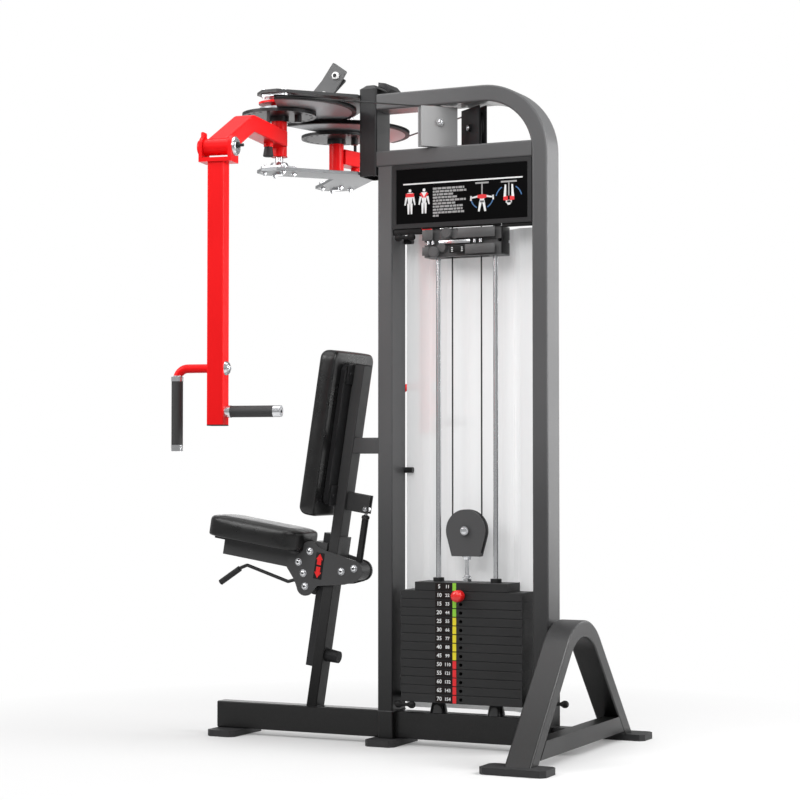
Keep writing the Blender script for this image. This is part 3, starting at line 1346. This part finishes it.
# %% Rod bracket parts
BAR_FACE = -0.0490
KNOB_R = 0.0165
KNOB = [(0.0, 0.0120), (KNOB_R * 0.86, 0.0120), (KNOB_R, 0.0100), (KNOB_R, 0.0), (0.0, 0.0)]
SLEEVE = [(0.0, 0.0108), (0.0052, 0.0108), (0.0052, 0.0), (0.0, 0.0)]
ROD_RING = [(0.0125, 0.0), (0.0125, 0.0070), (0.0110, 0.0085), (0.0086, 0.0085), (0.0086, 0.0)]
COVERS = (
    (0.2480, 0.3700, 1.5530, 1.5830), (0.2720, 0.3700, 1.5040, 1.5330),
    (0.1280, 0.1640, 1.5500, 1.5830), (0.1280, 0.1500, 1.5040, 1.5300),
)
RETURNS = (
    (0.0740, 1.5815, 0.0960, 0.0190), (0.4390, 1.5855, 0.0980, 0.0110), (0.2560, 1.5890, 0.2620, 0.0038),
)
bright, dark, pale, deep = (bmesh.new() for _ in range(4))
slab(bright, (0.104, 0.0100, 0.0090), near_face(0.236, BAR_FACE + 0.0035, 1.5430), edge=0.0012)
for x, z in ((0.2130, 1.5700), (0.1690, 1.5130)):
    lathe(dark, KNOB, near_face(x, BAR_FACE - 0.0002, z))
slab(deep, (0.050, 0.0210, 0.0024), near_face(0.2450, BAR_FACE - 0.0010, 1.5190), edge=0.0006)
for x in (0.2290, 0.2620):
    for z in (1.5135, 1.5190, 1.5245):
        tapered_bar(pale, (x - 0.0026, z), (x + 0.0026, z), 0.0026, y=BAR_FACE - 0.0023)
for x in (0.1460, 0.1620, 0.3010, 0.3200):
    lathe(bright, SLEEVE, aim((x, BAR_FACE + 0.0060, 1.5376), (0, 0, 1)), steps=20)
for x in (0.1525, 0.3595):
    lathe(bright, ROD_RING, aim((x, 0.0, 1.5860), (0, 0, 1)), steps=24)
for left, right, low, high in COVERS:
    middle = near_face((left + right) / 2, BAR_FACE - 0.0010, (low + high) / 2)
    slab(dark, (right - left, high - low, 0.0024), middle, edge=0.0008)
slab(deep, (0.0500, 0.0800, 0.0035), aim((0.3882, -0.012, 1.5430), (1, 0, 0)), edge=0.001)
to_piece(bright, "bracket_sleeves", steel, "frame")
to_piece(dark, "bracket_knobs", bracket_grey, "frame")
to_piece(deep, "bracket_slots", matt_black, "frame")
form = bmesh.new()
for x, z, wide, tall in RETURNS:
    slab(form, (wide, tall, 0.0080), aim((x, -0.0400, z), (0, 1, 0)), edge=0.0008)
to_piece(form, "board_return", matt_black, "frame")
to_piece(pale, "bracket_ticks", ink_white, "frame", smooth=False)

# %% [markdown]
# Black rubber dumbbells hold the guard: two at the front post, high and low, and one low behind
# the rear post.

# %% Guard holders
HOLDER = [
    (0.0, -0.0130), (0.0070, -0.0118), (0.0108, -0.0060), (0.0112, 0.0020),
    (0.0080, 0.0085), (0.0052, 0.0130), (0.0052, 0.0290), (0.0080, 0.0340),
    (0.0112, 0.0400), (0.0108, 0.0480), (0.0070, 0.0530), (0.0, 0.0545),
]
form = bmesh.new()
for x, z in ((0.0500, 1.5630), (0.0500, 0.1290), (0.5500, 0.1550)):
    lathe(form, HOLDER, aim((x, -0.0520, z), (1, 0, 0)), steps=24)
to_piece(form, "guard_holders", matt_black, "frame")
print("guard holders set")

# %% [markdown]
# Moulded plugs close the front end of the base rail and the top of the seat post. The weight pin
# has a domed red head and a collar. Hexagon bolts hold the lifting pulley and its housing, and
# button screws end the axles of the two pulleys above.

# %% Plugs, pin and pulley bolts
PIN_Z = 0.4654
PIN_DOME = [
    (0.0, 0.0072), (0.0070, 0.0066), (0.0125, 0.0045), (0.0165, 0.0012), (0.0179, -0.0030), (0.0, -0.0030),
]
PIN_COLLAR = [(0.0051, 0.0080), (0.0120, 0.0080), (0.0132, 0.0060), (0.0132, 0.0), (0.0051, 0.0)]
form = bmesh.new()
slab(form, (0.046, 0.080, 0.004), aim((-0.6115, 0.0, 0.062), (-1, 0, 0)), edge=0.0012)
slab(form, (0.031, 0.056, 0.004), aim(post_at(0.0, 1.0845), POST_UP, up=(0, 1, 0)), edge=0.0012)
to_piece(form, "tube_plugs", rubber, "frame")
form = bmesh.new()
lathe(form, PIN_DOME, near_face(STACK_X, -0.0860, PIN_Z), steps=36)
to_piece(form, "pin_dome", pin_red, "weight_pin_body")
form = bmesh.new()
lathe(form, PIN_COLLAR, near_face(STACK_X, -0.0512, PIN_Z), steps=28)
to_piece(form, "pin_collar", rubber, "weight_pin_body")
form = bmesh.new()
for way in (-1, 1):
    hex_bolt(form, (STACK_X, way * 0.0222, LIFT_Z), (0, way, 0), 0.0105, 0.0050)
hex_bolt(form, (STACK_X, 0.0, 0.5822), (0, 0, -1), 0.0125, 0.0090)
hex_bolt(form, (STACK_X, 0.0, 0.5180), (0, 0, 1), 0.0115, 0.0080)
to_piece(form, "lift_bolts", steel, "lift")
form = bmesh.new()
for middle, axle in wheel_axes.values():
    for way in (-1.0, 1.0):
        dome_bolt(form, middle + axle * way * 0.0221, axle * way, 0.0075, 0.0030)
to_piece(form, "pulley_bolts", steel, "frame")
print("plugs and pins set")

# %% [markdown]
# Welds run as rows of small overlapping beads: round the foot of the seat post, the brace and the
# foot of the front post, and round both ends of each hub.

# %% Weld beads
def ring_points(center, axis, half_x, half_y, corner):
    """Points of a rounded rectangle in a plane, for a bead to follow."""
    face = aim(center, axis)
    return [face @ Vector((x, y, 0.0)) for x, y in seam_line(half_x, half_y, corner, 3)]


weld_grey = finish("weld_grey", (0.075, 0.075, 0.077), 0.42, coat=0.15, Peel=0.5, Dust=0.1)
form = bmesh.new()
weld_ring(form, ring_points((-0.268, 0.0, 0.1042), (0, 0, 1), 0.0180, 0.0250, 0.005))
weld_ring(form, ring_points((-0.0252, 0.0, 0.922), (1, 0, 0), 0.0250, 0.0250, 0.005))
weld_ring(form, ring_points((0.0, 0.0, 0.1042), (0, 0, 1), 0.0254, 0.0500, 0.006))
to_piece(form, "frame_welds", weld_grey, "frame", smooth=False)
for key, side in SIDES.items():
    form = bmesh.new()
    for height in (1.8175, 1.9805):
        middle = Vector((HUB.x, side * HUB.y, height))
        weld_ring(form, [on_circle(middle, 0.0245, radians(12 * k)) for k in range(30)], 0.0016)
    to_piece(form, key + "_hub_weld", arm_paint, key + "_swing", smooth=False)
print("welds run")
